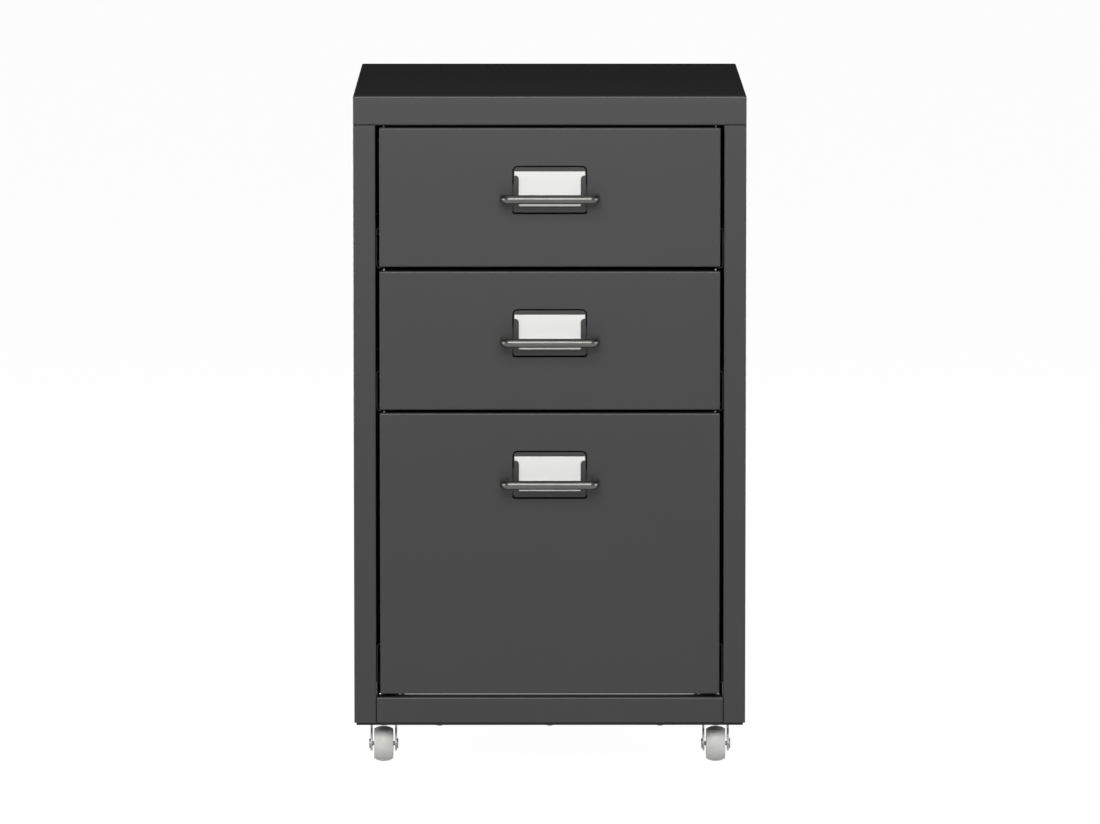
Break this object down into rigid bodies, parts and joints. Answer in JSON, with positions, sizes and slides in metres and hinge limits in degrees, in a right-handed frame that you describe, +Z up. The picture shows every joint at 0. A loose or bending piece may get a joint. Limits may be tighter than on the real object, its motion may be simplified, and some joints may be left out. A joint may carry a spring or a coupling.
{
  "type": "mobile drawer cabinet",
  "caption": "Sheet-steel mobile drawer pedestal with two shallow drawers over a deep one, label holders, bar handles and swivel casters.",
  "frame": {"origin": "on the floor, under the middle of the whole object with its handles", "axes": "+Z up, the drawers face -Y and pull out along -Y, +X to the right seen from the front"},
  "size_m": [0.39, 0.4794, 0.67],
  "materials": {
    "shell_paint": "anthracite powder coat, fine texture, semi-matt",
    "front_paint": "anthracite powder coat, fine texture, semi-matt",
    "box_paint": "anthracite powder coat, semi-matt",
    "base_paint": "black powder coat, matt",
    "handle_nickel": "satin dark nickel on a bent rod",
    "rail_steel": "zinc-plated rolled sheet steel",
    "ball_steel": "bright balls in a plated retainer",
    "zinc": "bright zinc plating",
    "axle_steel": "plated steel rivet",
    "wheel_nylon": "light grey moulded nylon",
    "card": "plain off-white card"
  },
  "bodies": {
    "cabinet": {"top_cover": "shell_paint", "left_side_panel": "shell_paint", "right_side_panel": "shell_paint", "back_panel": "shell_paint", "front_rail": "shell_paint", "base_frame": "base_paint", "shell_screws": "zinc", "rail_screws": "zinc", "caster_bolts": "zinc", "top_left_cabinet_rail": "rail_steel", "top_right_cabinet_rail": "rail_steel", "middle_left_cabinet_rail": "rail_steel", "middle_right_cabinet_rail": "rail_steel", "bottom_left_cabinet_rail": "rail_steel", "bottom_right_cabinet_rail": "rail_steel", "front_left_caster_plate": "zinc", "front_right_caster_plate": "zinc", "rear_left_caster_plate": "zinc", "rear_right_caster_plate": "zinc"},
    "top_drawer": {"top_drawer_front": "front_paint", "top_drawer_box": "box_paint", "top_drawer_handle": "handle_nickel", "top_label_holder": "front_paint", "top_drawer_screws": "zinc", "top_left_drawer_rail": "rail_steel", "top_right_drawer_rail": "rail_steel"},
    "top_cages": {"top_ball_cages": "ball_steel"},
    "top_card": {"top_label_card": "card"},
    "middle_drawer": {"middle_drawer_front": "front_paint", "middle_drawer_box": "box_paint", "middle_drawer_handle": "handle_nickel", "middle_label_holder": "front_paint", "middle_drawer_screws": "zinc", "middle_left_drawer_rail": "rail_steel", "middle_right_drawer_rail": "rail_steel"},
    "middle_cages": {"middle_ball_cages": "ball_steel"},
    "middle_card": {"middle_label_card": "card"},
    "bottom_drawer": {"bottom_drawer_front": "front_paint", "bottom_drawer_box": "box_paint", "bottom_drawer_handle": "handle_nickel", "bottom_label_holder": "front_paint", "bottom_drawer_screws": "zinc", "bottom_left_drawer_rail": "rail_steel", "bottom_right_drawer_rail": "rail_steel"},
    "bottom_cages": {"bottom_ball_cages": "ball_steel"},
    "bottom_card": {"bottom_label_card": "card"},
    "front_left_swivel": {"front_left_fork": "zinc", "front_left_axle": "axle_steel"},
    "front_left_caster_wheel": {"front_left_wheel": "wheel_nylon"},
    "front_right_swivel": {"front_right_fork": "zinc", "front_right_axle": "axle_steel"},
    "front_right_caster_wheel": {"front_right_wheel": "wheel_nylon"},
    "rear_left_swivel": {"rear_left_fork": "zinc", "rear_left_axle": "axle_steel"},
    "rear_left_caster_wheel": {"rear_left_wheel": "wheel_nylon"},
    "rear_right_swivel": {"rear_right_fork": "zinc", "rear_right_axle": "axle_steel"},
    "rear_right_caster_wheel": {"rear_right_wheel": "wheel_nylon"}
  },
  "joints": [
    {"name": "top_drawer_slide", "type": "slide", "parent": "cabinet", "child": "top_drawer", "axis": [0, -1, 0], "range_m": [0, 0.3]},
    {"name": "top_cages_slide", "type": "slide", "parent": "cabinet", "child": "top_cages", "axis": [0, -1, 0], "range_m": [0, 0.15]},
    {"name": "top_card_slide", "type": "slide", "parent": "top_drawer", "child": "top_card", "axis": [0, 0, 1], "range_m": [0, 0.042]},
    {"name": "middle_drawer_slide", "type": "slide", "parent": "cabinet", "child": "middle_drawer", "axis": [0, -1, 0], "range_m": [0, 0.3]},
    {"name": "middle_cages_slide", "type": "slide", "parent": "cabinet", "child": "middle_cages", "axis": [0, -1, 0], "range_m": [0, 0.15]},
    {"name": "middle_card_slide", "type": "slide", "parent": "middle_drawer", "child": "middle_card", "axis": [0, 0, 1], "range_m": [0, 0.042]},
    {"name": "bottom_drawer_slide", "type": "slide", "parent": "cabinet", "child": "bottom_drawer", "axis": [0, -1, 0], "range_m": [0, 0.3]},
    {"name": "bottom_cages_slide", "type": "slide", "parent": "cabinet", "child": "bottom_cages", "axis": [0, -1, 0], "range_m": [0, 0.15]},
    {"name": "bottom_card_slide", "type": "slide", "parent": "bottom_drawer", "child": "bottom_card", "axis": [0, 0, 1], "range_m": [0, 0.042]},
    {"name": "front_left_swivel_turn", "type": "hinge", "parent": "cabinet", "child": "front_left_swivel", "pos_m": [-0.1662, -0.16725, 0.037], "axis": [0, 0, 1], "continuous": true},
    {"name": "front_left_wheel_spin", "type": "hinge", "parent": "front_left_swivel", "child": "front_left_caster_wheel", "pos_m": [-0.1662, -0.17925, 0.0177], "axis": [1, 0, 0], "continuous": true},
    {"name": "front_right_swivel_turn", "type": "hinge", "parent": "cabinet", "child": "front_right_swivel", "pos_m": [0.1662, -0.16725, 0.037], "axis": [0, 0, 1], "continuous": true},
    {"name": "front_right_wheel_spin", "type": "hinge", "parent": "front_right_swivel", "child": "front_right_caster_wheel", "pos_m": [0.1662, -0.17925, 0.0177], "axis": [1, 0, 0], "continuous": true},
    {"name": "rear_left_swivel_turn", "type": "hinge", "parent": "cabinet", "child": "rear_left_swivel", "pos_m": [-0.1662, 0.19675, 0.037], "axis": [0, 0, 1], "continuous": true},
    {"name": "rear_left_wheel_spin", "type": "hinge", "parent": "rear_left_swivel", "child": "rear_left_caster_wheel", "pos_m": [-0.1662, 0.18475, 0.0177], "axis": [1, 0, 0], "continuous": true},
    {"name": "rear_right_swivel_turn", "type": "hinge", "parent": "cabinet", "child": "rear_right_swivel", "pos_m": [0.1662, 0.19675, 0.037], "axis": [0, 0, 1], "continuous": true},
    {"name": "rear_right_wheel_spin", "type": "hinge", "parent": "rear_right_swivel", "child": "rear_right_caster_wheel", "pos_m": [0.1662, 0.18475, 0.0177], "axis": [1, 0, 0], "continuous": true}
  ],
  "couplings": [
    {"joint": "top_cages_slide", "follows": "top_drawer_slide", "ratio": 0.5},
    {"joint": "middle_cages_slide", "follows": "middle_drawer_slide", "ratio": 0.5},
    {"joint": "bottom_cages_slide", "follows": "bottom_drawer_slide", "ratio": 0.5}
  ]
}
